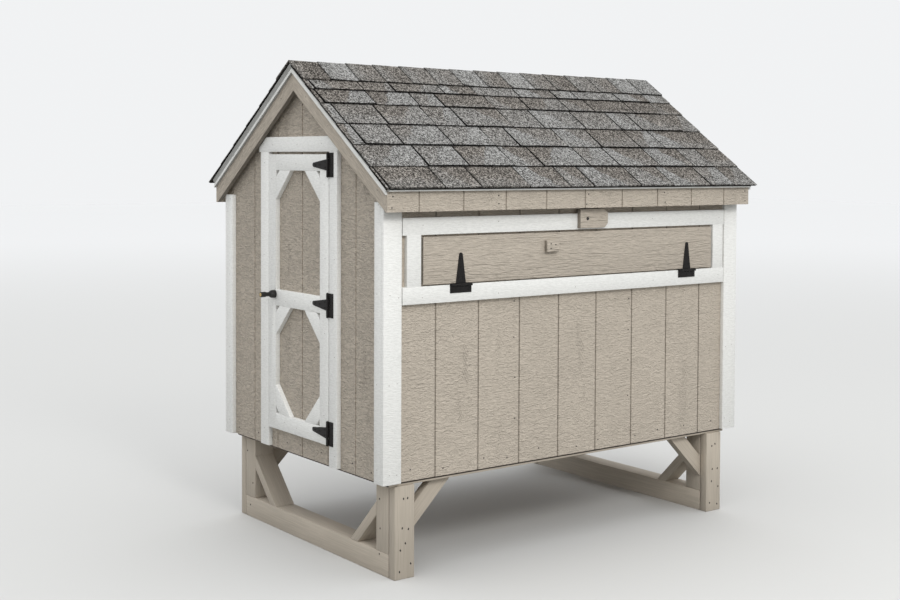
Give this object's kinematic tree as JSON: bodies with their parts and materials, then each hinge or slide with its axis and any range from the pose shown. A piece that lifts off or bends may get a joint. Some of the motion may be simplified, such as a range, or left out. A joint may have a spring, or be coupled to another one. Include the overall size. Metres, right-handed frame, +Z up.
{
  "type": "chicken coop",
  "caption": "Raised chicken coop on braced legs and skids with a shingled gable roof, walk-in door, egg door over nest boxes and fold-down ramp door.",
  "frame": {"origin": "on the ground, under the middle of the coop", "axes": "+X along the ridge away from the walk-in door, +Y across away from the egg door, +Z up"},
  "size_m": [1.994, 1.437, 1.9674],
  "materials": {
    "lumber_taupe": "painted taupe lumber, matte",
    "lumber_raw": "sawn softwood, unfinished",
    "plywood": "sanded plywood, unfinished",
    "siding_taupe": "painted rough-sawn siding, matte",
    "board_taupe": "painted board with open grain, matte",
    "trim_white": "painted trim, eggshell",
    "felt": "bitumen-soaked roofing felt",
    "drip_metal": "coated drip edge, satin",
    "shingle": "granule-surfaced asphalt, matte",
    "hinge_black": "black satin coat",
    "lock_black": "black satin coat",
    "lock_steel": "brushed, slightly dulled"
  },
  "bodies": {
    "coop": {"skid_front": "lumber_taupe", "skid_rear": "lumber_taupe", "leg_planks": "lumber_taupe", "leg_posts": "lumber_taupe", "skid_braces": "lumber_taupe", "floor_braces": "lumber_taupe", "floor_frame": "lumber_taupe", "floor_deck": "plywood", "wall_frame_front": "lumber_raw", "wall_frame_rear": "lumber_raw", "wall_frame_egg_side": "lumber_raw", "wall_frame_ramp_side": "lumber_raw", "siding_front": "siding_taupe", "siding_rear": "siding_taupe", "siding_egg_side": "siding_taupe", "siding_ramp_side": "siding_taupe", "corner_trims_front": "trim_white", "corner_trims_rear": "trim_white", "door_jambs": "trim_white", "door_header": "trim_white", "egg_frame": "trim_white", "ramp_frame": "trim_white", "rafters": "lumber_raw", "ridge_board": "lumber_raw", "rake_spacers": "board_taupe", "rake_boards": "board_taupe", "eave_fascias": "siding_taupe", "roof_deck": "plywood", "roof_felt": "felt", "drip_edge_eaves": "drip_metal", "drip_edge_rakes": "drip_metal", "shingles_egg_side": "shingle", "shingles_ramp_side": "shingle", "ridge_caps": "shingle", "hinge_leaves": "hinge_black", "hinge_pins": "hinge_black", "button_screws": "lock_steel", "nest_floor": "plywood", "nest_dividers": "plywood", "nest_front_board": "plywood", "nest_beam": "lumber_raw", "nest_perch": "lumber_raw", "roost_bars": "lumber_raw", "roost_cleats": "lumber_raw"},
    "door": {"door_panel": "siding_taupe", "door_stiles": "trim_white", "door_rails": "trim_white", "door_corner_braces": "trim_white", "door_hinge_straps": "hinge_black", "knob_rose": "lock_black"},
    "lock": {"door_knob": "lock_black", "lock_cam": "lock_steel"},
    "egg_door": {"egg_door_panel": "board_taupe", "egg_door_pull": "board_taupe", "egg_hinge_straps": "hinge_black"},
    "egg_button": {"egg_turn_button": "board_taupe"},
    "ramp": {"ramp_panel": "board_taupe", "ramp_cleats": "board_taupe", "ramp_hinge_straps": "hinge_black"},
    "ramp_button": {"ramp_turn_button": "board_taupe"}
  },
  "joints": [
    {"name": "door_swing", "type": "hinge", "parent": "coop", "child": "door", "pos_m": [-0.9497, -0.2465, 1.0205], "axis": [0, 0, 1], "range_deg": [0, 160]},
    {"name": "lock_turn", "type": "hinge", "parent": "door", "child": "lock", "pos_m": [-0.944, 0.188, 1.012], "axis": [1, 0, 0], "range_deg": [0, 90]},
    {"name": "egg_door_swing", "type": "hinge", "parent": "coop", "child": "egg_door", "pos_m": [0, -0.6417, 1.09532], "axis": [1, 0, 0], "range_deg": [0, 165]},
    {"name": "egg_button_turn", "type": "hinge", "parent": "coop", "child": "egg_button", "pos_m": [0.032, -0.646, 1.33332], "axis": [0, 1, 0], "range_deg": [0, 90]},
    {"name": "ramp_swing", "type": "hinge", "parent": "coop", "child": "ramp", "pos_m": [-0.43, 0.6417, 0.4565], "axis": [-1, 0, 0], "range_deg": [0, 138]},
    {"name": "ramp_button_turn", "type": "hinge", "parent": "coop", "child": "ramp_button", "pos_m": [-0.43, 0.646, 1.11], "axis": [0, 1, 0], "range_deg": [0, 90]}
  ]
}
